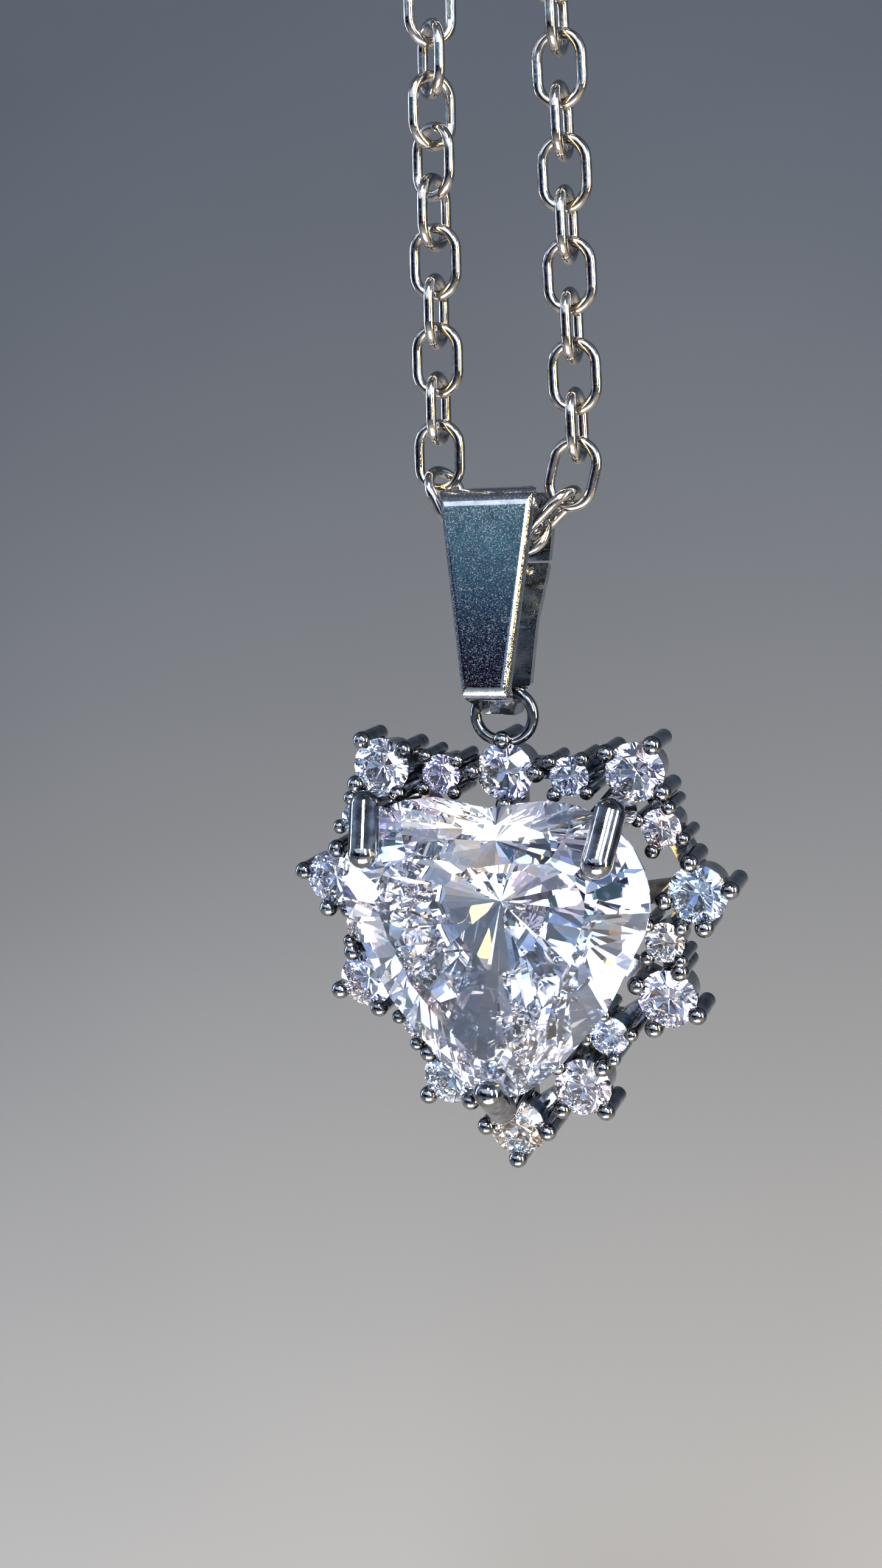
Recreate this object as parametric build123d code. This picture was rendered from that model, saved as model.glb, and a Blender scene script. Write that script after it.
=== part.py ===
from build123d import *
from math import atan2, cos, degrees, pi, radians, sin, sqrt, tan
import os

# Heart pendant on a fine cable chain, in millimetres.
# The pendant is modelled lying face up: x to its side, y up its face, z out of its face.
# It is then stood up, so that its face looks along -Y and its tip points down.
# The finished part has its origin at the inside of the top of the chain's loop.

# Heart stone
heart_width = 9.26
heart_height = 8.90
heart_girdle = 1.30
heart_crown = 1.16
heart_pavilion = 3.70
heart_girdle_band = 0.10
heart_crown_slope = 37.0
heart_culet_rise = 0.72
heart_star_depth = 0.34
# Slopes of the smaller facets as shares of the main facets' slope
heart_upper_share = 1.055
heart_lower_share = 1.008
heart_table_star_share = 0.60
heart_culet_star_share = 0.78
heart_table_star_reach = 0.985

# Round stones of the frame
big_stone = 1.70
small_stone = 1.15
halo_table = -0.02
crown_share = 0.15
girdle_share = 0.04
table_share = 0.57
pavilion_slope = 41.0
girdle_sides = 16
star_slope_share = 0.62
star_reach = 0.99
upper_slope_share = 1.063
lower_slope_share = 1.018

# Metal of the setting
big_bead = 0.56
small_bead = 0.44
big_post = 0.50
small_post = 0.36
bead_proud = 0.11
bead_out = 0.11
cup_rise = 0.06
cup_wall = 0.22
cup_foot_share = 0.40
cup_mouth_share = 0.49
bore_share = 0.80
rail_width = 0.62
rail_thickness = 0.42
rail_back = -1.62
strut_reach = 0.38
claw_width = 0.88
claw_shank = 0.64
basket_wall = 0.42
basket_front = 0.85
basket_depth = 2.75
basket_front_share = 0.95
basket_back_share = 0.60
stone_gap = 0.04

# Ring soldered on top of the setting
top_stone_share = 0.492
ring_wire = 0.34
ring_bend = 0.72
ring_run = 0.30
ring_rise = 1.64
ring_height = top_stone_share * heart_height + ring_rise
ring_back = -0.45

# Bail, one folded strip
bail_plate = 0.30
bail_lift = 0.88
bail_length = 5.62
bail_top_width = 2.84
bail_foot_width = 1.42
bail_inside_depth = 1.88
bail_foot_forward = 0.80
bail_crest_width = 1.70
bail_back_bend = 0.70
bail_front_bend = 0.38
bail_foot_bend = 0.30
bail_waist_bend = 1.0
bail_edge_round = 0.27
bail_tongue_width = 1.00
bail_seam_drop = 2.16
bail_seam_gap = 0.12
bail_flap_lean = 0.05
bail_waist_drop = 3.90
bail_waist_lean = 0.80
bail_floor_half = 0.45
bail_foot = ring_height + bail_lift
bail_top = bail_foot + bail_length
ring_gap = 0.05
# Radii of the strip's bends, from the back's seam over the chain and round to the seam again
BAIL_BENDS = [bail_back_bend, bail_front_bend, bail_foot_bend, bail_foot_bend, bail_foot_bend, bail_waist_bend]
# Flats that round the front plate's long edges: their tilts from the plate's face, in degrees
EDGE_TILTS = [15, 30, 45, 60, 75]

# Chain
chain_length = 406.0
chain_wire = 0.30
link_width = 1.53
link_pitch = 1.335
link_gap = 0.18
slack_pitch = 1.25
links_a_side = 17
left_strand = -1.76
right_strand = 2.36
strand_lean = 1.3
chain_back = 0.70
clasp_length = 8.0
clasp_width = 4.0
clasp_wire = 0.66
clasp_drop = 14.0
clasp_gap = 0.2
entry_rise = 0.25
twist_start = 5
twist_step = 12.0
twist_most = 48.0
corner_share = 0.45
# The links that pass through the bail: slope from level and twist about their length, in degrees
PASSAGE_SLOPES = [-64.5, -28.5, 12.5, 42.5]
PASSAGE_TWISTS = [20, 42, 59, 83]

# Outline of one half of the heart: the hull of three rounds
# name, x and y of the centre as shares of the width and the height, radius as a share of the width
HEART_ROUNDS = [
    ("lobe", 0.205, 0.129, 0.292),
    ("hip", 0.130, -0.112, 0.253),
    ("tip", 0.032, -0.438, 0.108),
]
# Directions of the girdle's facets, from the tip round the side to the lobe
GIRDLE_TURNS = [-80, -66, -52, -39, -26, -13, 0, 13, 26, 40, 54, 68, 82]
CLEFT_TURN = 99.5
CLEFT_SHARE = 0.388

# Frame of round stones on the right of the middle line, the left side is its mirror
# name, x as a share of the heart's width, y as a share of its height, size, turn of its prongs
HALO = [
    ("top", 0.0, top_stone_share, "big", 90),
    ("top_small", 0.2106, 0.483, "small", 96),
    ("shoulder", 0.417, 0.501, "big", 56),
    ("shoulder_small", 0.497, 0.322, "small", 24),
    ("side", 0.605, 0.110, "big", 12),
    ("side_small", 0.502, -0.051, "small", -2),
    ("hip", 0.5054, -0.244, "big", -24),
    ("hip_small", 0.3186, -0.382, "small", -34),
    ("low", 0.2246, -0.571, "big", -42),
    ("tip", 0.0, -0.736, "big", -90),
]

# Claws that hold the heart, from the foot to the tip
# x as a share of the heart's width, y of its height, rise above the girdle as a share of its width
UPPER_CLAW = [(0.362, 0.376, -0.290), (0.396, 0.393, -0.081), (0.392, 0.414, 0.038), (0.371, 0.275, 0.120)]
LOWER_CLAW = [(0.0, -0.562, -0.290), (0.0, -0.585, -0.110), (0.0, -0.609, -0.020), (0.0, -0.507, 0.098)]

os.makedirs("parts", exist_ok=True)


def flat(turn, distance):
    """A point at a distance from the middle, in a direction given in degrees."""
    return Vector(distance * cos(radians(turn)), distance * sin(radians(turn)), 0)


def facet(stone, turn, slope, point):
    """The stone ground flat on a plane through the point, tilted by the slope from level."""
    out = Vector(cos(radians(turn)), sin(radians(turn)), 0)
    normal = out * sin(radians(slope)) + Vector(0, 0, cos(radians(slope)))
    return split(stone, bisect_by=Plane(origin=point, z_dir=normal), keep=Keep.BOTTOM)


def under_facet(stone, turn, slope, point):
    """The same on the stone's underside."""
    return facet(stone, turn, 180 - slope, point)


def round_brilliant(width):
    """Round stone with its table up at height 0."""
    radius = width / 2
    crown = width * crown_share
    girdle_top = -crown
    girdle_foot = girdle_top - width * girdle_share
    depth = radius * tan(radians(pavilion_slope)) - girdle_foot
    main_slope = degrees(atan2(crown, radius * (1 - table_share)))
    step = 360 / girdle_sides
    blank = RegularPolygon(radius, girdle_sides, major_radius=False, rotation=step / 2)
    stone = extrude(blank, -depth)
    table_apothem = radius * table_share
    table_corner = table_apothem / cos(radians(step))
    for turn in [step * 2 * i for i in range(girdle_sides // 2)]:
        stone = facet(stone, turn, main_slope, flat(turn, table_apothem))
        stone = under_facet(stone, turn, pavilion_slope, flat(turn, radius) + Vector(0, 0, girdle_foot))
    for turn in [step * (2 * i + 1) for i in range(girdle_sides // 2)]:
        start = flat(turn, (table_apothem + table_corner) / 2 * star_reach)
        stone = facet(stone, turn, main_slope * star_slope_share, start)
    for turn in [step * (i + 0.5) for i in range(girdle_sides)]:
        edge = flat(turn, radius)
        stone = facet(stone, turn, main_slope * upper_slope_share, edge + Vector(0, 0, girdle_top))
        stone = under_facet(stone, turn, pavilion_slope * lower_slope_share, edge + Vector(0, 0, girdle_foot))
    return stone.solid()


def outline_reach(turn):
    """Distance from the middle to the heart's outline, measured square to a facet at this turn."""
    if turn == CLEFT_TURN:
        return heart_width * CLEFT_SHARE
    out = flat(turn, 1)
    reaches = []
    for name, x, y, radius in HEART_ROUNDS:
        reaches.append(x * heart_width * out.X + y * heart_height * out.Y + radius * heart_width)
    return max(reaches)


def crossing(turn_a, reach_a, turn_b, reach_b):
    """Point where two lines meet, each square to a turn at its reach."""
    a = flat(turn_a, 1)
    b = flat(turn_b, 1)
    det = a.X * b.Y - a.Y * b.X
    x = (reach_a * b.Y - reach_b * a.Y) / det
    y = (reach_b * a.X - reach_a * b.X) / det
    return Vector(x, y, 0)


def heart_brilliant(grow=0.0):
    """Heart stone with its girdle's top edge at the girdle's height, ground like a real one."""
    top = heart_girdle + heart_girdle_band / 2 + grow
    foot = heart_girdle - heart_girdle_band / 2 - grow
    table = top + heart_crown
    culet = Vector(0, heart_culet_rise, foot - heart_pavilion - grow)
    star_point = culet + Vector(0, 0, heart_star_depth)
    turns = GIRDLE_TURNS + [CLEFT_TURN]
    reaches = [outline_reach(turn) + grow for turn in turns]
    size = heart_width * 2
    half = Pos(size / 2, 0, (table + culet.Z) / 2) * Box(size, size * 2, table - culet.Z)
    for turn, reach in zip(turns, reaches):
        half = facet(half, turn, 90, flat(turn, reach))
    mains = []
    for i in range(0, len(turns) - 1, 2):
        turn = (turns[i] + turns[i + 1]) / 2
        corner = crossing(turns[i], reaches[i], turns[i + 1], reaches[i + 1])
        mains.append((turn, corner))
        half = facet(half, turn, heart_crown_slope, corner + Vector(0, 0, top))
        run = (corner - culet).dot(flat(turn, 1))
        slope = degrees(atan2(foot - culet.Z, run))
        half = under_facet(half, turn, slope, corner + Vector(0, 0, foot))
    for turn, reach in zip(turns, reaches):
        edge = flat(turn, reach)
        half = facet(half, turn, heart_crown_slope * heart_upper_share, edge + Vector(0, 0, top))
        run = (edge - culet).dot(flat(turn, 1))
        slope = degrees(atan2(foot - culet.Z, run))
        half = under_facet(half, turn, slope * heart_lower_share, edge + Vector(0, 0, foot))
        half = under_facet(half, turn, slope * heart_culet_star_share, star_point)
    inset = heart_crown / tan(radians(heart_crown_slope))
    for (turn_a, corner_a), (turn_b, corner_b) in zip(mains, mains[1:]):
        reach_a = corner_a.dot(flat(turn_a, 1)) - inset
        reach_b = corner_b.dot(flat(turn_b, 1)) - inset
        corner = crossing(turn_a, reach_a, turn_b, reach_b)
        turn = (turn_a + turn_b) / 2
        start = flat(turn, corner.dot(flat(turn, 1)) * heart_table_star_reach)
        half = facet(half, turn, heart_crown_slope * heart_table_star_share, start + Vector(0, 0, table))
    whole = half + mirror(half, about=Plane.YZ)
    return whole.solid()


def halo_stones():
    """Every round stone of the frame: name, place, size and turn, in order round the heart."""
    right = []
    left = []
    for name, x, y, size, turn in HALO:
        place = Vector(x * heart_width, y * heart_height, 0)
        if x == 0:
            right.append((name, place, size, turn))
        else:
            right.append((name + "_right", place, size, turn))
            left.append((name + "_left", Vector(-place.X, place.Y, 0), size, 180 - turn))
    return right + left[::-1]


def rod(start, end, width):
    """Round bar with round ends."""
    path = end - start
    low = (Align.CENTER, Align.CENTER, Align.MIN)
    bar = Plane(origin=start, z_dir=path) * Cylinder(width / 2, path.length, align=low)
    return [bar, Pos(start) * Sphere(width / 2), Pos(end) * Sphere(width / 2)]


def flat_bar(start, end, width, back, thickness):
    """Flat bar between two places, lying behind the stones."""
    path = end - start
    turn = degrees(atan2(path.Y, path.X))
    middle = (start + end) / 2
    place = Pos(middle.X, middle.Y, back) * Rot(0, 0, turn)
    return place * Box(path.length, width, thickness, align=(Align.CENTER, Align.CENTER, Align.MIN))


def heart_face(share):
    """Smooth heart outline at a share of the stone's size."""
    rounds = []
    for name, x, y, radius in HEART_ROUNDS:
        place = Pos(x * heart_width * share, y * heart_height * share)
        rounds += (place * Circle(radius * heart_width * share)).edges()
    half = make_hull(rounds)
    return half + mirror(half, about=Plane.YZ)


def basket_shells():
    """Outside and inside of the tapered collar under the heart stone, which is open behind."""
    shift = heart_culet_rise * (1 - basket_back_share)
    inner_share = 1 - 2 * basket_wall / heart_width
    shells = []
    for share in (1.0, inner_share):
        front = Pos(0, 0, basket_front) * heart_face(basket_front_share * share)
        back = Pos(0, shift, basket_front - basket_depth) * heart_face(basket_back_share * share)
        shells.append(loft([front.faces()[0], back.faces()[0]], ruled=True))
    return shells


def oval_ring(run, bend, wire):
    """Round wire bent into an oval in the XY plane, its straight runs along X."""
    section = Circle(wire / 2)
    right = Plane(origin=(run / 2, -bend, 0), x_dir=(0, 1, 0), z_dir=(1, 0, 0)) * section
    arc = revolve(right, Axis((run / 2, 0, 0), (0, 0, 1)), 180)
    straight = extrude(Plane(origin=(-run / 2, -bend, 0), x_dir=(0, 1, 0), z_dir=(1, 0, 0)) * section, run)
    half = arc + straight
    return half + Rot(0, 0, 180) * half


def stone_seat(size):
    """Room for one round stone, a little larger than the stone, and the bore behind it."""
    width = big_stone if size == "big" else small_stone
    grown = width / 2 + stone_gap
    depth = grown * tan(radians(pavilion_slope))
    foot = halo_table - width * (crown_share + girdle_share) - stone_gap / 2
    shoulder = foot + width * girdle_share + stone_gap
    rise = width * crown_share + stone_gap
    mouth = width / 2 * table_share + stone_gap
    profile = [(0, foot - depth), (grown, foot), (grown, shoulder), (mouth, shoulder + rise), (0, shoulder + rise)]
    seat = revolve(Plane.XZ * make_face(Polyline(*profile, close=True)), Axis.Z)
    bore = Cylinder(width / 2 * bore_share - cup_wall, -3 * rail_back)
    return seat, bore


def round_mount(size):
    """Cup with four posts and beads round one stone, its turn at 0."""
    width = big_stone if size == "big" else small_stone
    bead = big_bead if size == "big" else small_bead
    post = big_post if size == "big" else small_post
    low = (Align.CENTER, Align.CENTER, Align.MIN)
    cup_top = halo_table - width * (crown_share + girdle_share) + cup_rise
    cup = Cone(width * cup_foot_share, width * cup_mouth_share, cup_top - rail_back, align=low)
    mount = [Pos(0, 0, rail_back) * cup]
    height = halo_table + bead_proud - rail_back - bead / 2
    stem = Cylinder(post / 2, height, align=low)
    for k in range(4):
        arm = 90 * k + (45 if size == "small" else 0)
        foot = flat(arm, width / 2 + bead_out)
        mount.append(Pos(foot.X, foot.Y, rail_back) * stem)
        mount.append(Pos(foot.X, foot.Y, rail_back + height) * Sphere(bead / 2))
    whole = mount[0] + mount[1:]
    for cutter in stone_seat(size):
        whole -= cutter
    return whole


def claw(points, side):
    """Round claw through its points, thinner at its foot."""
    route = []
    for x, y, rise in points:
        route.append(Vector(side * x * heart_width, y * heart_height, heart_girdle + rise * heart_width))
    bars = rod(route[0], route[1], claw_shank)
    for start, end in zip(route[1:], route[2:]):
        bars += rod(start, end, claw_width)
    return bars[0] + bars[1:]


def setting():
    """All the soldered metal of the pendant: frame, basket, claws and ring, in one piece."""
    stones = halo_stones()
    mounts = {size: round_mount(size) for size in ("big", "small")}
    seats = {size: stone_seat(size) for size in ("big", "small")}
    bars = []
    places = [place for name, place, size, turn in stones]
    for start, end in zip(places, places[1:] + places[:1]):
        bars.append(flat_bar(start, end, rail_width, rail_back, rail_thickness))
    for name, place, size, turn in stones:
        if size == "big":
            bars.append(flat_bar(place, place * strut_reach, rail_width, rail_back, rail_thickness))
    collar, cavity = basket_shells()
    frame = (bars[0] + bars[1:]) - cavity
    claws = [claw(UPPER_CLAW, 1), claw(UPPER_CLAW, -1), claw(LOWER_CLAW, 1)]
    ring = Pos(0, ring_height, ring_back) * oval_ring(ring_run, ring_bend, ring_wire)
    held = (collar - cavity + claws) - heart_brilliant(stone_gap) + ring
    for name, place, size, turn in stones:
        seat, bore = seats[size]
        frame -= Pos(place.X, place.Y, 0) * bore
        held -= Pos(place.X, place.Y, 0) * seat
    pieces = [held]
    for name, place, size, turn in stones:
        pieces.append(Pos(place.X, place.Y, 0) * Rot(0, 0, turn) * mounts[size])
    return frame + pieces


def stand_up(shape):
    """Turns a face-up shape so that its face looks along -Y."""
    return Rot(90, 0, 0) * shape


def bail():
    """Folded strip: front plate, bend over the chain, tongue through the ring, back flap."""
    plate = bail_plate
    front_top = chain_back - bail_inside_depth / 2 - plate / 2
    back_top = chain_back + bail_inside_depth / 2 + plate / 2
    crest = bail_top - plate / 2
    front_foot = front_top - bail_foot_forward
    seam = bail_top - bail_seam_drop
    ring_y = -ring_back
    corner_run = bail_tongue_width / 2 - ring_run / 2
    floor = ring_height + sqrt((ring_bend - ring_wire / 2) ** 2 - corner_run ** 2) - plate / 2 - ring_gap
    route = [(back_top - bail_flap_lean, seam), (back_top, crest), (front_top, crest)]
    route += [(front_foot, bail_foot), (ring_y - bail_floor_half, floor), (ring_y + bail_floor_half, floor)]
    route += [(back_top - bail_waist_lean, bail_top - bail_waist_drop)]
    route += [(back_top - bail_flap_lean, seam - bail_seam_gap)]
    side_line = Plane.YZ * trace(FilletPolyline(*route, radius=BAIL_BENDS), plate)
    strip = extrude(side_line, bail_top_width, both=True)
    tongue = bail_tongue_width / 2
    outline = [(tongue, floor - plate), (tongue, floor + plate), (bail_foot_width / 2, bail_foot)]
    outline += [(bail_top_width / 2, bail_top)]
    outline += [(-x, y) for x, y in outline[::-1]]
    strip = strip & extrude(Plane.XZ * make_face(Polyline(*outline, close=True)), bail_length, both=True)
    notch = Box(bail_top_width, bail_inside_depth, 2 * bail_back_bend, align=(Align.MIN, Align.CENTER, Align.CENTER))
    for turn in (0, 180):
        strip -= Pos(0, chain_back, crest) * Rot(0, 0, turn) * Pos(bail_crest_width / 2, 0, 0) * notch
    for hand in (1, -1):
        high = Vector(hand * bail_top_width / 2, front_top - plate / 2, bail_top)
        low = Vector(hand * bail_foot_width / 2, front_foot - plate / 2, bail_foot)
        centre = high + Vector(-hand, 1, 0) * bail_edge_round
        for tilt in EDGE_TILTS:
            out = Vector(hand * sin(radians(tilt)), -cos(radians(tilt)), 0)
            along = Vector(hand * cos(radians(tilt)), sin(radians(tilt)), 0)
            normal = (high - low).cross(along).normalized()
            if normal.dot(out) < 0:
                normal = normal * -1
            flat_side = Plane(origin=centre + out * bail_edge_round, z_dir=normal)
            strip = split(strip, bisect_by=flat_side, keep=Keep.BOTTOM)
    return strip


def chain_hooks():
    """Points where the links hook into each other, down the left strand, through the bail and up the right."""
    inward = link_pitch * sin(radians(strand_lean))
    upward = link_pitch * cos(radians(strand_lean))
    hooks = []
    x, z = left_strand, bail_top + entry_rise
    for k in range(links_a_side, -1, -1):
        hooks.append((x + inward * k, z + upward * k))
    for slope in PASSAGE_SLOPES:
        x += slack_pitch * cos(radians(slope))
        z += slack_pitch * sin(radians(slope))
        hooks.append((x, z))
    z += sqrt(link_pitch ** 2 - (right_strand - x) ** 2)
    for k in range(links_a_side):
        hooks.append((right_strand - inward * k, z + upward * k))
    return hooks


def link():
    """One chain link, long along X, lying in the XY plane."""
    bend = (link_width - chain_wire) / 2
    length = link_pitch + chain_wire + link_gap
    return oval_ring(length - 2 * bend, bend, chain_wire)


def placed_link(shape, start, end, turn):
    """A link between two hooks, its plane turned about its own length."""
    along = Vector(end[0] - start[0], 0, end[1] - start[1]).normalized()
    across = Vector(0, 1, 0) * cos(radians(turn)) + along.cross(Vector(0, 1, 0)) * sin(radians(turn))
    middle = Vector((start[0] + end[0]) / 2, chain_back, (start[1] + end[1]) / 2)
    return Plane(origin=middle, x_dir=along, z_dir=along.cross(across)).location * shape


def link_turns(count):
    """Turn of each link about its length: each stands square to its neighbour but for a small twist."""
    turns = []
    for k in range(count):
        inside = k - links_a_side
        if inside < 0:
            twist = min(twist_most, twist_step * max(0, -inside - twist_start))
        elif inside < len(PASSAGE_TWISTS):
            twist = PASSAGE_TWISTS[inside]
        else:
            twist = 90
        turns.append(90 * inside + twist)
    return turns


def chain():
    """The links of the lower part of the chain, a compound of loose links."""
    shape = link()
    hooks = chain_hooks()
    turns = link_turns(len(hooks) - 1)
    links = []
    for start, end, turn in zip(hooks, hooks[1:], turns):
        links.append(placed_link(shape, start, end, turn))
    return links


def loop_sides():
    """Where the loop's two upper strands hang, and the radius of its two upper corners."""
    hooks = chain_hooks()
    left = hooks[0][0]
    right = hooks[-1][0]
    return left, right, corner_share * (right - left)


def loop_top():
    """Height of the chain's highest middle line, from its real length."""
    hooks = chain_hooks()
    left, right, corner = loop_sides()
    shown = link_pitch * (len(hooks) - 1)
    turn = pi * corner + right - left - 2 * corner
    rest = chain_length - shown - turn
    return (rest + hooks[0][1] + hooks[-1][1]) / 2 + corner


def chain_upper():
    """The rest of the loop as two round runs with the clasp between them."""
    hooks = chain_hooks()
    left, right, corner = loop_sides()
    end = link_gap + chain_wire
    top = loop_top()
    eye = top - clasp_drop
    route = [(left, hooks[0][1] + end), (left, top), (right, top), (right, eye)]
    path = Plane.XZ.offset(-chain_back) * FilletPolyline(*route, radius=corner)
    print("chain_upper corner radii", round(corner, 3), round(corner, 3), "length", round(path.length, 2))
    section = Plane(origin=path @ 0, z_dir=path % 0) * Circle(link_width / 2)
    over = sweep(section, path=path)
    expected = pi * link_width ** 2 / 4 * path.length
    print("chain_upper volume", round(over.volume, 2), "section by length", round(expected, 2))
    low = hooks[-1][1] + end
    run = eye - clasp_length - low
    down = Cylinder(link_width / 2, run, align=(Align.CENTER, Align.CENTER, Align.MIN))
    return over, Pos(right, chain_back, low) * down


def clasp():
    """Plain closed clasp: one long eye between the two ends of the chain."""
    left, right, corner = loop_sides()
    bend = (clasp_width - clasp_wire) / 2
    body = oval_ring(clasp_length - 2 * clasp_gap - clasp_wire - 2 * bend, bend, clasp_wire)
    middle = loop_top() - clasp_drop - clasp_length / 2
    return Plane(origin=(right, chain_back, middle), x_dir=(0, 0, 1), z_dir=(1, 0, 0)).location * body


def write(node, *shapes):
    """Writes a node, moved so that the origin is at the inside of the top of the loop."""
    left, right, corner = loop_sides()
    inside = loop_top() - link_width / 2
    home = Pos(-(left + right) / 2, -chain_back, -inside)
    moved = [home * solid for shape in shapes for solid in shape.solids()]
    export_step(Compound(moved) if len(moved) > 1 else moved[0], "parts/" + node + ".step")
    print(node, len(moved))


write("heart_stone", stand_up(heart_brilliant()))
cut_stones = {"big": round_brilliant(big_stone), "small": round_brilliant(small_stone)}
for name, place, size, turn in halo_stones():
    write("stone_" + name, stand_up(Pos(place.X, place.Y, halo_table) * Rot(0, 0, turn) * cut_stones[size]))
write("setting", stand_up(setting()))
write("bail", bail())
write("chain", *chain())
write("chain_upper", *chain_upper())
write("clasp", clasp())
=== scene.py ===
from math import cos, pi, radians, sin

import bpy
from mathutils import Matrix, Vector


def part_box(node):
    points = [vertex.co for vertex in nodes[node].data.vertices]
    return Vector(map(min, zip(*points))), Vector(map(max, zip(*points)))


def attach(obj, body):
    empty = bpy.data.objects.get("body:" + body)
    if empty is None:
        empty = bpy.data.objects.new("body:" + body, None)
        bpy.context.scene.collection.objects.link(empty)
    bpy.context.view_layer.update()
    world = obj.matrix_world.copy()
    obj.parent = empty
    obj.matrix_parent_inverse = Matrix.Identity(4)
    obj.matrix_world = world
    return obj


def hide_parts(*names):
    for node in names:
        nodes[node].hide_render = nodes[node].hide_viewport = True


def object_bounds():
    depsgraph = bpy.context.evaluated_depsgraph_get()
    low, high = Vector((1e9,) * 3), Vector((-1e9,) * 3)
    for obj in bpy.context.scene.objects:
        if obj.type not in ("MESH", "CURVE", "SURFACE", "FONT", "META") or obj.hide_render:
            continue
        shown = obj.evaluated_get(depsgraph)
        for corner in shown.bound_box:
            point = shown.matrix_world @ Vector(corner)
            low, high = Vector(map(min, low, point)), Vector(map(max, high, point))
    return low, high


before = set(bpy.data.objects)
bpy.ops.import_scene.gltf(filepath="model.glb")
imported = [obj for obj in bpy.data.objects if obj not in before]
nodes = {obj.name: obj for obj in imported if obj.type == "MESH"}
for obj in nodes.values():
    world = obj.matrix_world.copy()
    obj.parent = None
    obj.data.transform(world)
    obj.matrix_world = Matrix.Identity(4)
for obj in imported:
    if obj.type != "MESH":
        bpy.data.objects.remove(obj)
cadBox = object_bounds()
mm = 0.001
stoneNames = sorted(name for name in nodes if name.startswith("stone_"))
heartLow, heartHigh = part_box("heart_stone")
heartCentre = (heartLow + heartHigh) / 2
print("frame loaded with", len(nodes), "nodes")


def linear(hexColour):
    # sRGB hex to the linear values that shader sockets take
    values = []
    for start in (1, 3, 5):
        part = int(hexColour[start:start + 2], 16) / 255
        values.append(part / 12.92 if part <= 0.04045 else ((part + 0.055) / 1.055) ** 2.4)
    return (*values, 1.0)


def addNode(tree, kind, settings, inputs):
    # one node; an input is either a plain value or a (node, output) pair to link from
    node = tree.nodes.new(kind)
    for name, value in settings.items():
        setattr(node, name, value)
    for name, value in inputs.items():
        if isinstance(value, tuple) and isinstance(value[0], bpy.types.Node):
            tree.links.new(value[0].outputs[value[1]], node.inputs[name])
        else:
            node.inputs[name].default_value = value
    return node


# places of the colour sockets on a Mix node: two inputs and the result
mixFirst, mixSecond, mixResult = 6, 7, 2


def setRamp(ramp, stops):
    # colour ramp stops: (position, hex colour)
    elements = ramp.color_ramp.elements
    while len(elements) > len(stops):
        elements.remove(elements[-1])
    while len(elements) < len(stops):
        elements.new(1.0)
    for element, (position, colour) in zip(elements, stops):
        element.position = position
        element.color = linear(colour)
    return ramp


def newMaterial(name):
    material = bpy.data.materials.new(name)
    material.use_nodes = True
    material.node_tree.nodes.clear()
    return material, material.node_tree


def finishMaterial(tree, shader):
    addNode(tree, "ShaderNodeOutputMaterial", {}, {"Surface": (shader, 0)})


def direction(azimuth, elevation):
    # azimuth 0 is in front of the pendant's face, 90 is at its right
    a, e = radians(azimuth), radians(elevation)
    return Vector((sin(a) * cos(e), -cos(a) * cos(e), sin(e)))


def deselectAll():
    for item in bpy.context.selected_objects:
        item.select_set(False)


def selectVertices(item, wanted):
    # leaves the item in edit mode with only the wanted vertices selected
    bpy.ops.object.mode_set(mode="EDIT")
    bpy.ops.mesh.select_mode(type="VERT")
    bpy.ops.mesh.select_all(action="DESELECT")
    bpy.ops.object.mode_set(mode="OBJECT")
    for vertex in item.data.vertices:
        vertex.select = wanted(vertex.co)
    bpy.ops.object.mode_set(mode="EDIT")


# Cut stones: cubic zirconia, ground and polished.
# Clear and strongly refracting, so the eye gets hard dark and bright patches; faint cold colours are painted
# into the tint in patches, a painted fire.
zirconia = {
    "ior": 2.15,
    "paintedFireSize": 0.9 * mm,       # patches of painted fire colour, about the size of a facet
    "hazeSize": 0.25 * mm,      # traces of handling on the facets
    "hazeDetail": 3.0,
    "hazeFrom": 0.55,           # noise level where the traces start
    "hazeFull": 0.8,            # and where they are full
    "hazeRough": 0.06,
    # painted fire: tints of the patches, by the share of them
    "stops": [(0.0, "#B8D5FF"), (0.3, "#FBFCFF"), (0.55, "#ECDCFF"), (0.75, "#C8E8FF"), (0.9, "#FFF3FA"),
              (1.0, "#FFDDB8")],
}


def makeZirconia():
    material, tree = newMaterial("polished_zirconia")
    place = addNode(tree, "ShaderNodeTexCoord", {}, {})
    # painted fire: each facet-sized cell picks its own faint tint for the stone
    cells = addNode(tree, "ShaderNodeTexVoronoi", {}, {
        "Vector": (place, "Object"), "Scale": 1 / zirconia["paintedFireSize"],
    })
    pick = addNode(tree, "ShaderNodeSeparateColor", {}, {"Color": (cells, "Color")})
    paintedFire = setRamp(addNode(tree, "ShaderNodeValToRGB", {}, {"Fac": (pick, "Red")}), zirconia["stops"])
    haze = addNode(tree, "ShaderNodeTexNoise", {}, {
        "Vector": (place, "Object"), "Scale": 1 / zirconia["hazeSize"],
        "Detail": zirconia["hazeDetail"],
    })
    rough = addNode(tree, "ShaderNodeMapRange", {}, {
        "Value": (haze, "Fac"), "From Min": zirconia["hazeFrom"], "From Max": zirconia["hazeFull"],
        "To Min": 0.0, "To Max": zirconia["hazeRough"],
    })
    shader = addNode(tree, "ShaderNodeBsdfPrincipled", {}, {
        "Base Color": (paintedFire, "Color"), "Roughness": (rough, "Result"),
        "IOR": zirconia["ior"], "Transmission Weight": 1.0,
    })
    finishMaterial(tree, shader)
    return material


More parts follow.
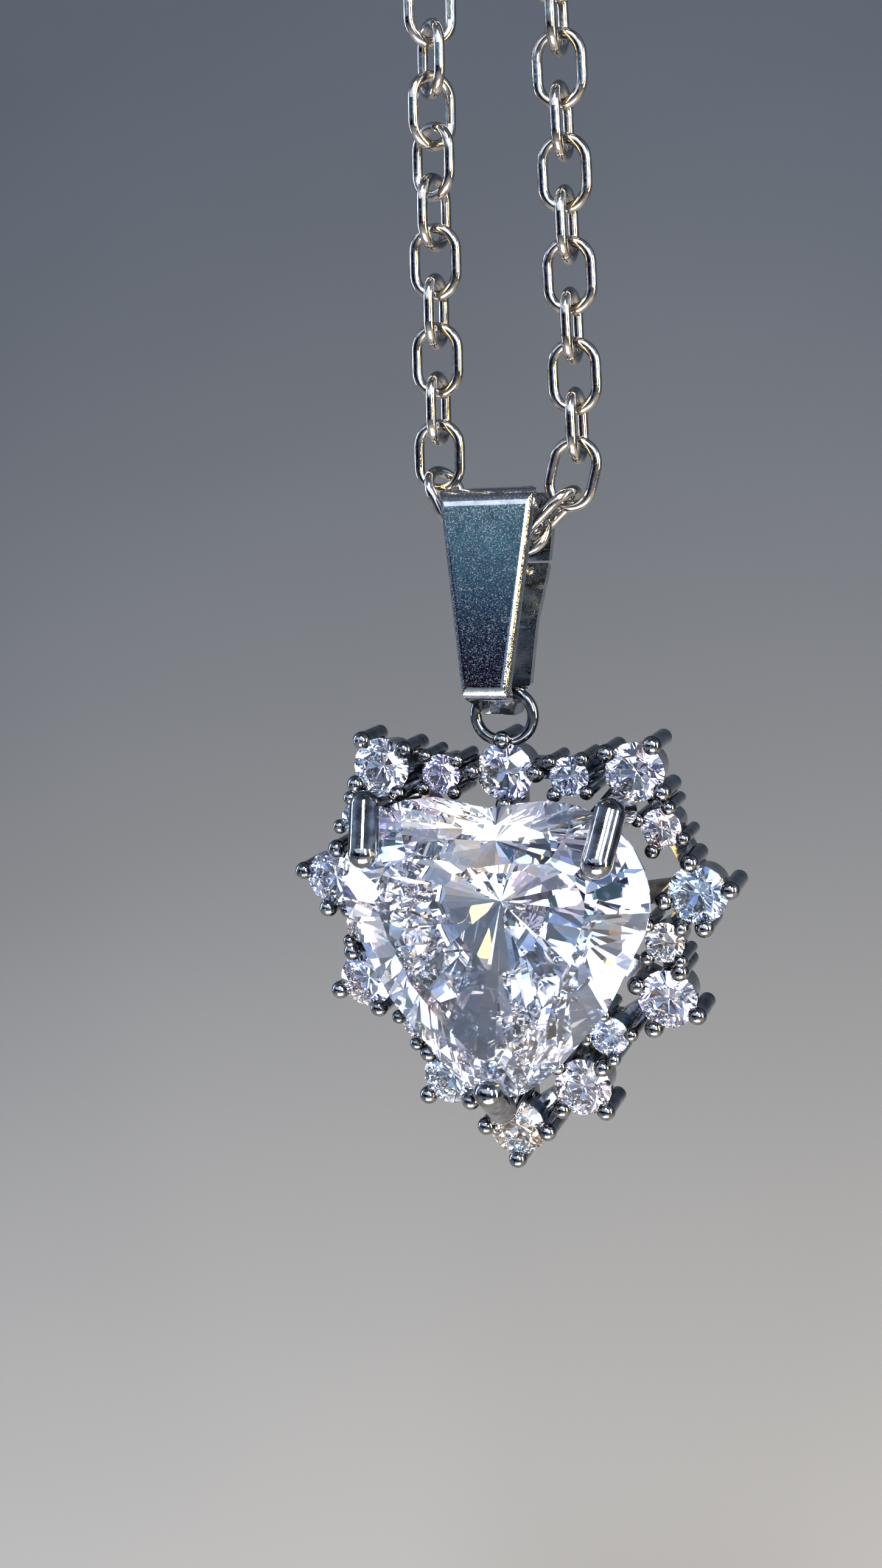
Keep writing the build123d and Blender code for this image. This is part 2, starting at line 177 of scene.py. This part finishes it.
# Metal finishes: rhodium plate over silver, each worked in its own way
platedMetals = {
    # cast and tumbled, slightly uneven gloss; the base colour is painted dark, a painted shade that stands
    # in for the reflection of a dark room, so the beads look like drops of mercury
    "tumbled_rhodium_painted_shade": {
        "light": "#9DA0A5", "dark": "#56585C", "spotSize": 0.35 * mm, "grainSize": 0.06 * mm,
        "smooth": 0.04, "rough": 0.14, "bump": 0.002 * mm, "paintedSeatLight": True,
    },
    # rolled strip, mirror-polished by wheel: flat reflections with fine specks of wear
    "wheel_polished_rhodium": {
        "light": "#C4C8CC", "dark": "#9AA2AA", "spotSize": 0.4 * mm, "grainSize": 0.04 * mm,
        "smooth": 0.05, "rough": 0.36, "bump": 0.003 * mm,
    },
    # drawn and soldered wire: bright, with a faint warm cast in random spots, a painted warm sheen that
    # stands in for warm highlights
    "drawn_rhodium_wire_painted_sheen": {
        "light": "#CFCBC5", "dark": "#8E8780", "spotSize": 0.4 * mm, "grainSize": 0.06 * mm,
        "smooth": 0.08, "rough": 0.24, "bump": 0.003 * mm,
    },
}
# The noise in every plated finish, and the levels where it turns light or rough
plateNoise = {
    "spotDetail": 4.0,
    "spotRoughness": 0.6,
    "spotDark": 0.3,
    "spotLight": 0.65,
    "grainDetail": 2.0,
    "grainFrom": 0.45,
    "grainFull": 0.75,
    "bumpStrength": 0.3,
}
# A painted light: the metal round the heart stone's middle is painted near white, so the seat behind the
# stone throws more light back into it
paintedSeatLight = {
    "colour": "#EEF1F6",
    "radius": 3.2 * mm,         # round the stone's middle, seen from the front
    "edge": 0.5 * mm,
}


def addPaintedSeatLight(tree, place, colour):
    # mixes the painted light in round the heart stone's middle, measured in the plane of its girdle
    middle = nodes["setting"].matrix_world.inverted() @ heartCentre
    away = addNode(tree, "ShaderNodeVectorMath", {"operation": "SUBTRACT"}, {
        0: (place, "Object"), 1: middle[:],
    })
    flat = addNode(tree, "ShaderNodeVectorMath", {"operation": "MULTIPLY"}, {
        0: (away, "Vector"), 1: (1.0, 0.0, 1.0),
    })
    reach = addNode(tree, "ShaderNodeVectorMath", {"operation": "LENGTH"}, {0: (flat, "Vector")})
    inside = addNode(tree, "ShaderNodeMapRange", {}, {
        "Value": (reach, "Value"), "From Min": paintedSeatLight["radius"] + paintedSeatLight["edge"],
        "From Max": paintedSeatLight["radius"],
    })
    return addNode(tree, "ShaderNodeMix", {"data_type": "RGBA"}, {
        "Factor": (inside, "Result"), mixFirst: (colour, "Color"), mixSecond: linear(paintedSeatLight["colour"]),
    })


def makePlated(name):
    finish = platedMetals[name]
    material, tree = newMaterial(name)
    place = addNode(tree, "ShaderNodeTexCoord", {}, {})
    spots = addNode(tree, "ShaderNodeTexNoise", {}, {
        "Vector": (place, "Object"), "Scale": 1 / finish["spotSize"],
        "Detail": plateNoise["spotDetail"], "Roughness": plateNoise["spotRoughness"],
    })
    grain = addNode(tree, "ShaderNodeTexNoise", {}, {
        "Vector": (place, "Object"), "Scale": 1 / finish["grainSize"], "Detail": plateNoise["grainDetail"],
    })
    colour = setRamp(addNode(tree, "ShaderNodeValToRGB", {}, {"Fac": (spots, "Fac")}),
                     [(plateNoise["spotDark"], finish["dark"]), (plateNoise["spotLight"], finish["light"])])
    shown = (colour, "Color")
    # painted light: a near-white patch round the heart stone's middle
    if finish.get("paintedSeatLight"):
        shown = (addPaintedSeatLight(tree, place, colour), mixResult)
    rough = addNode(tree, "ShaderNodeMapRange", {}, {
        "Value": (grain, "Fac"), "From Min": plateNoise["grainFrom"], "From Max": plateNoise["grainFull"],
        "To Min": finish["smooth"], "To Max": finish["rough"],
    })
    relief = addNode(tree, "ShaderNodeBump", {}, {
        "Strength": plateNoise["bumpStrength"], "Distance": finish["bump"], "Height": (grain, "Fac"),
    })
    shader = addNode(tree, "ShaderNodeBsdfPrincipled", {}, {
        "Base Color": shown, "Metallic": 1.0, "Roughness": (rough, "Result"),
        "Normal": (relief, "Normal"),
    })
    finishMaterial(tree, shader)
    return material


def giveMaterial(item, material):
    item.data.materials.clear()
    item.data.materials.append(material)


stoneMaterial = makeZirconia()
metals = {name: makePlated(name) for name in platedMetals}
for name in ["heart_stone"] + stoneNames:
    giveMaterial(nodes[name], stoneMaterial)
# the setting gets the metal with the painted dark base and the painted light round the heart stone
giveMaterial(nodes["setting"], metals["tumbled_rhodium_painted_shade"])
giveMaterial(nodes["bail"], metals["wheel_polished_rhodium"])
# the chain's metal carries the painted warm sheen
for name in ("chain", "chain_upper", "clasp"):
    giveMaterial(nodes[name], metals["drawn_rhodium_wire_painted_sheen"])
print("finishes made")

# Links of the upper chain: the same oval link as below, from the top of the shown stretch round to the clasp
upperChain = {
    "wire": 0.30 * mm,
    "width": 1.53 * mm,
    "pitch": 1.335 * mm,
    "spare": 0.18 * mm,         # play between two links
    "cornerShare": 0.45,        # radius of the loop's two top corners, as a share of the strands' distance
    "claspPlay": 0.06 * mm,     # between the last link and the clasp's wire
    "bendSides": 12,
    "wireSides": 5,
    "leftTwist": 48.0,          # turn of the left strand's links about the strand, in degrees
    "rightTwist": 90.0,
}


def makeLink():
    bend = (upperChain["width"] - upperChain["wire"]) / 2
    run = upperChain["pitch"] + upperChain["wire"] + upperChain["spare"] - 2 * bend
    deselectAll()
    bpy.ops.mesh.primitive_torus_add(
        major_radius=bend, minor_radius=upperChain["wire"] / 2,
        major_segments=upperChain["bendSides"], minor_segments=upperChain["wireSides"],
        rotation=(0, 0, pi / upperChain["bendSides"]),
    )
    link = bpy.context.object
    bpy.ops.object.transform_apply(location=False, rotation=True, scale=False)
    for side in (1, -1):
        selectVertices(link, lambda place: place.x * side > 0)
        bpy.ops.transform.translate(value=(side * run / 2, 0, 0))
        bpy.ops.object.mode_set(mode="OBJECT")
    bpy.ops.object.shade_smooth()
    return link


def strandTop(side):
    # top of the links that the frame holds on this side of the loop
    chainMiddle = (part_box("chain_upper")[0].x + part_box("chain_upper")[1].x) / 2
    heights = [v.co.z for v in nodes["chain"].data.vertices if (v.co.x - chainMiddle) * side > 0]
    return max(heights)


def pathPoint(route, distance):
    # a point on the loop's upper run: left strand, first corner, top, second corner, right strand
    left, right, radius, y = route["left"], route["right"], route["radius"], route["y"]
    shoulder = route["high"] - radius
    straight = shoulder - route["low"]
    quarter = pi * radius / 2
    across = right - left - 2 * radius
    if distance < straight:
        return Vector((left, y, route["low"] + distance))
    distance -= straight
    if distance < quarter:
        turn = distance / radius
        return Vector((left + radius - radius * cos(turn), y, shoulder + radius * sin(turn)))
    distance -= quarter
    if distance < across:
        return Vector((left + radius + distance, y, route["high"]))
    distance -= across
    if distance < quarter:
        turn = distance / radius
        return Vector((right - radius + radius * sin(turn), y, shoulder + radius * cos(turn)))
    distance -= quarter
    return Vector((right, y, shoulder - distance))


def hookPoints(pointAt, length, evenCount):
    # points where neighbouring links hook into each other, evenly spaced near the pitch
    count = round(length / upperChain["pitch"])
    if evenCount and count % 2:
        count += 1
    return [pointAt(length * i / count) for i in range(count + 1)]


def placeLinks(link, hooks, firstTurn, lastTurn):
    # every link stands square to its neighbour; what is left over is spread as a small twist
    copies = []
    count = len(hooks) - 1
    rest = (lastTurn - firstTurn - 90 * (count - 1)) % 180
    if rest > 90:
        rest -= 180
    for k, (start, end) in enumerate(zip(hooks, hooks[1:])):
        turn = radians(firstTurn + 90 * k + rest * k / max(count - 1, 1))
        along = (end - start).normalized()
        level = Vector((0, 1, 0))
        across = level * cos(turn) + along.cross(level) * sin(turn)
        normal = along.cross(across)
        spot = Matrix((along, across, normal)).transposed().to_4x4()
        spot.translation = (start + end) / 2
        piece = link.copy()
        piece.data = link.data.copy()
        bpy.context.scene.collection.objects.link(piece)
        piece.matrix_world = spot
        copies.append(piece)
    return copies


def makeUpperChain():
    link = makeLink()
    tubeLow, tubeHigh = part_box("chain_upper")
    claspLow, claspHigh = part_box("clasp")
    half = upperChain["width"] / 2
    left, right = tubeLow.x + half, tubeHigh.x - half
    y = (tubeLow.y + tubeHigh.y) / 2
    high = tubeHigh.z - half
    reach = (upperChain["wire"] + upperChain["spare"]) / 2        # a link's end passes the hook by this
    hold = reach + upperChain["wire"] / 2
    claspWire = claspHigh.x - claspLow.x
    leftHook = strandTop(-1) - hold
    rightHook = strandTop(1) - hold
    # the last link's end lies inside the clasp's eye, under its wire
    inset = claspWire + upperChain["claspPlay"] + upperChain["wire"] / 2 - reach
    radius = upperChain["cornerShare"] * (right - left)
    route = {"left": left, "right": right, "low": leftHook, "high": high, "radius": radius, "y": y}
    upLength = high - radius - leftHook
    turnLength = pi * radius + (right - left - 2 * radius)
    overLength = upLength + turnLength + high - radius - (claspHigh.z - inset)
    over = hookPoints(lambda s: pathPoint(route, s), overLength, False)
    downLength = claspLow.z + inset - rightHook
    down = hookPoints(lambda s: Vector((right, y, rightHook + s)), downLength, True)
    copies = placeLinks(link, over, upperChain["leftTwist"] + 90, 90)
    copies += placeLinks(link, down, upperChain["rightTwist"] + 90, 90)
    bpy.data.objects.remove(link)
    deselectAll()
    for piece in copies:
        piece.select_set(True)
    bpy.context.view_layer.objects.active = copies[0]
    bpy.ops.object.join()
    whole = bpy.context.object
    bpy.ops.object.transform_apply(location=True, rotation=True, scale=True)
    whole.name = "chain_upper_links"
    giveMaterial(whole, metals["drawn_rhodium_wire_painted_sheen"])
    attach(whole, "neck_chain")
    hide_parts("chain_upper")
    print("upper chain:", len(copies), "links")


makeUpperChain()

# Stage: one pale sheet, floor in front and wall behind, joined by a wide curve
stage = {
    "floorDrop": 70 * mm,       # below the pendant's tip
    "wallBehind": 760 * mm,
    "curve": 700 * mm,
    "curveSteps": 24,
    "width": 3200 * mm,
    "frontReach": 1500 * mm,
    "wallHeight": 1300 * mm,
    "light": "#ACACAA",
    "dark": "#A6A6A4",
    "mottle": 160 * mm,
    "mottleDetail": 2.0,
    "mottleDark": 0.3,
    "mottleLight": 0.7,
    "roughness": 0.9,
}


def makeStage():
    floor = cadBox[0].z - stage["floorDrop"]
    back = stage["wallBehind"] - stage["curve"]
    depth = stage["frontReach"] + back
    deselectAll()
    bpy.ops.mesh.primitive_plane_add(size=1, location=(0, back - depth / 2, floor))
    sheet = bpy.context.object
    sheet.name = "stage_sheet"
    sheet.scale = (stage["width"], depth, 1)
    bpy.ops.object.transform_apply(location=True, rotation=False, scale=True)
    selectVertices(sheet, lambda place: place.y > 0)
    bpy.ops.mesh.spin(
        steps=stage["curveSteps"], angle=-pi / 2, center=(0, back, floor + stage["curve"]), axis=(1, 0, 0),
    )
    rise = stage["wallHeight"] - stage["curve"]
    bpy.ops.mesh.extrude_region_move(TRANSFORM_OT_translate={"value": (0, 0, rise)})
    bpy.ops.mesh.select_all(action="SELECT")
    bpy.ops.mesh.normals_make_consistent(inside=False)
    bpy.ops.object.mode_set(mode="OBJECT")
    bpy.ops.object.shade_smooth()
    # matt paper: soft, with a hardly visible mottle
    material, tree = newMaterial("matt_paper")
    place = addNode(tree, "ShaderNodeTexCoord", {}, {})
    mottle = addNode(tree, "ShaderNodeTexNoise", {}, {
        "Vector": (place, "Object"), "Scale": 1 / stage["mottle"], "Detail": stage["mottleDetail"],
    })
    colour = setRamp(addNode(tree, "ShaderNodeValToRGB", {}, {"Fac": (mottle, "Fac")}),
                     [(stage["mottleDark"], stage["dark"]), (stage["mottleLight"], stage["light"])])
    shader = addNode(tree, "ShaderNodeBsdfPrincipled", {}, {
        "Base Color": (colour, "Color"), "Roughness": stage["roughness"],
    })
    finishMaterial(tree, shader)
    giveMaterial(sheet, material)
    print("stage:", len(sheet.data.polygons), "faces")


makeStage()

# Soft studio lamps round the pendant; sizes and distances in millimetres, power in watts
# a lamp faces the heart stone through a grid, or straight down where it washes the floor
lampGrid = 120                  # widest angle that the grid lets out, so the floor beside a lamp stays calm
lamps = [
    {"name": "key", "azimuth": 12, "elevation": 50, "distance": 260,
     "size": (60, 60), "watts": 0.33, "colour": "#F4F7FF", "down": False},
    {"name": "right_glint", "azimuth": 42, "elevation": 22, "distance": 260,
     "size": (50, 170), "watts": 0.36, "colour": "#FFF6E6", "down": False},
    {"name": "warm_side", "azimuth": 80, "elevation": 8, "distance": 260,
     "size": (46, 190), "watts": 0.40, "colour": "#FFD27E", "down": False},
    {"name": "cool_side", "azimuth": -95, "elevation": 5, "distance": 300,
     "size": (30, 240), "watts": 0.14, "colour": "#E8F0FF", "down": False},
    {"name": "floor_card", "azimuth": 12, "elevation": -52, "distance": 80,
     "size": (90, 60), "watts": 0.035, "colour": "#FFF8EE", "down": False},
    {"name": "floor_wash", "azimuth": -5, "elevation": 27, "distance": 360,
     "size": (520, 340), "watts": 0.95, "colour": "#EEF3FF", "down": True},
]
# Air round the pendant: a bright soft sky over a dim horizon
# stops: (height from straight down to straight up, hex colour)
air = {
    "stops": [(0.50, "#4E5A6C"), (0.55, "#8FAAD2"), (0.72, "#C6DBFF"), (0.85, "#808CA0"), (1.0, "#50565E")],
    "backdrop": "#8F9294",      # what the eye sees past the stage's edges
    # a teal and black screen left of the camera, the only thing that the bail's face mirrors
    "screenAzimuth": -28,
    "screenElevation": 14,
    "screenRadius": 27,
    "screenEdge": 4,
    "screenStops": [(0.575, "#1A0D20"), (0.584, "#20153A"), (0.592, "#2B3A62"), (0.602, "#44708C"),
                    (0.616, "#558EA4"), (0.626, "#386A7A"), (0.632, "#264A56"), (0.70, "#2E6086"),
                    (0.80, "#1C3A68")],
}


def makeAir():
    world = bpy.data.worlds.new("studio_air")
    bpy.context.scene.world = world
    world.use_nodes = True
    tree = world.node_tree
    tree.nodes.clear()
    view = addNode(tree, "ShaderNodeTexCoord", {}, {})
    parts = addNode(tree, "ShaderNodeSeparateXYZ", {}, {"Vector": (view, "Generated")})
    height = addNode(tree, "ShaderNodeMapRange", {}, {
        "Value": (parts, "Z"), "From Min": -1.0, "From Max": 1.0,
    })
    sky = setRamp(addNode(tree, "ShaderNodeValToRGB", {}, {"Fac": (height, "Result")}), air["stops"])
    screenRamp = addNode(tree, "ShaderNodeValToRGB", {}, {"Fac": (height, "Result")})
    screen = setRamp(screenRamp, air["screenStops"])
    toScreen = direction(air["screenAzimuth"], air["screenElevation"])
    near = addNode(tree, "ShaderNodeVectorMath", {"operation": "DOT_PRODUCT"}, {
        0: (view, "Generated"), 1: toScreen[:],
    })
    inside = addNode(tree, "ShaderNodeMapRange", {}, {
        "Value": (near, "Value"), "From Min": cos(radians(air["screenRadius"] + air["screenEdge"])),
        "From Max": cos(radians(air["screenRadius"])),
    })
    colour = addNode(tree, "ShaderNodeMix", {"data_type": "RGBA"}, {
        "Factor": (inside, "Result"), mixFirst: (sky, "Color"), mixSecond: (screen, "Color"),
    })
    # past the stage the eye sees the plain backdrop, and only the piece and the stage get the air's light
    path = addNode(tree, "ShaderNodeLightPath", {}, {})
    seen = addNode(tree, "ShaderNodeMix", {"data_type": "RGBA"}, {
        "Factor": (path, "Is Camera Ray"), mixFirst: (colour, mixResult), mixSecond: linear(air["backdrop"]),
    })
    glow = addNode(tree, "ShaderNodeBackground", {}, {"Color": (seen, mixResult), "Strength": 1.0})
    addNode(tree, "ShaderNodeOutputWorld", {}, {"Surface": (glow, 0)})
    print("air made")


def makeLamps():
    for row in lamps:
        data = bpy.data.lights.new(row["name"], "AREA")
        data.shape = "RECTANGLE"
        data.size = row["size"][0] * mm
        data.size_y = row["size"][1] * mm
        data.energy = row["watts"]
        data.color = linear(row["colour"])[:3]
        item = bpy.data.objects.new(row["name"], data)
        bpy.context.scene.collection.objects.link(item)
        item.visible_camera = False        # a lamp lights the piece but doesn't stand in other views
        away = direction(row["azimuth"], row["elevation"])
        item.location = heartCentre + away * row["distance"] * mm
        if not row["down"]:
            data.spread = radians(lampGrid)
            item.rotation_euler = away.to_track_quat("Z", "Y").to_euler()
    print("lamps:", len(lamps))


makeAir()
makeLamps()

# Camera: a close view from a little to the right and above, held slightly tilted
camera = {
    "azimuth": 20.70,
    "elevation": 10.79,
    "roll": 2.54,
    "distance": 50.0 * mm,
    "lens": 39.13,
    "sensor": 36.0,
    "nearest": 1 * mm,
    "farthest": 20.0,
    "aim": Vector((-1.917, 0.094, 4.016)) * mm,      # from the pendant's middle
    # the pendant's middle lies between the top and the tip stone, by these shares of the heart's height,
    # and this much before the top stone's table
    "topShare": 0.492,
    "tipShare": 0.736,
    "before": 0.02 * mm,
}


def pendantMiddle():
    topLow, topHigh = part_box("stone_top")
    tipLow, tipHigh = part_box("stone_tip")
    heightTop = (topLow.z + topHigh.z) / 2
    heightTip = (tipLow.z + tipHigh.z) / 2
    share = camera["tipShare"] / (camera["tipShare"] + camera["topShare"])
    height = heightTip + (heightTop - heightTip) * share
    return Vector(((topLow.x + topHigh.x) / 2, topLow.y - camera["before"], height))


def makeCamera():
    data = bpy.data.cameras.new("camera")
    data.lens = camera["lens"]
    data.sensor_width = camera["sensor"]
    data.clip_start = camera["nearest"]
    data.clip_end = camera["farthest"]
    item = bpy.data.objects.new("camera", data)
    bpy.context.scene.collection.objects.link(item)
    back = direction(camera["azimuth"], camera["elevation"])
    right = Vector((cos(radians(camera["azimuth"])), sin(radians(camera["azimuth"])), 0))
    up = back.cross(right)
    roll = radians(camera["roll"])
    tiltedRight = right * cos(roll) - up * sin(roll)
    tiltedUp = right * sin(roll) + up * cos(roll)
    spot = Matrix((tiltedRight, tiltedUp, back)).transposed().to_4x4()
    spot.translation = pendantMiddle() + camera["aim"] + back * camera["distance"]
    item.matrix_world = spot
    bpy.context.scene.camera = item
    print("camera set")


makeCamera()
bpy.context.scene.view_settings.view_transform = "Standard"
# light goes round many times inside a cut stone before it comes out
stonePasses = 24
bpy.context.scene.cycles.max_bounces = stonePasses
bpy.context.scene.cycles.glossy_bounces = stonePasses
bpy.context.scene.cycles.transmission_bounces = stonePasses
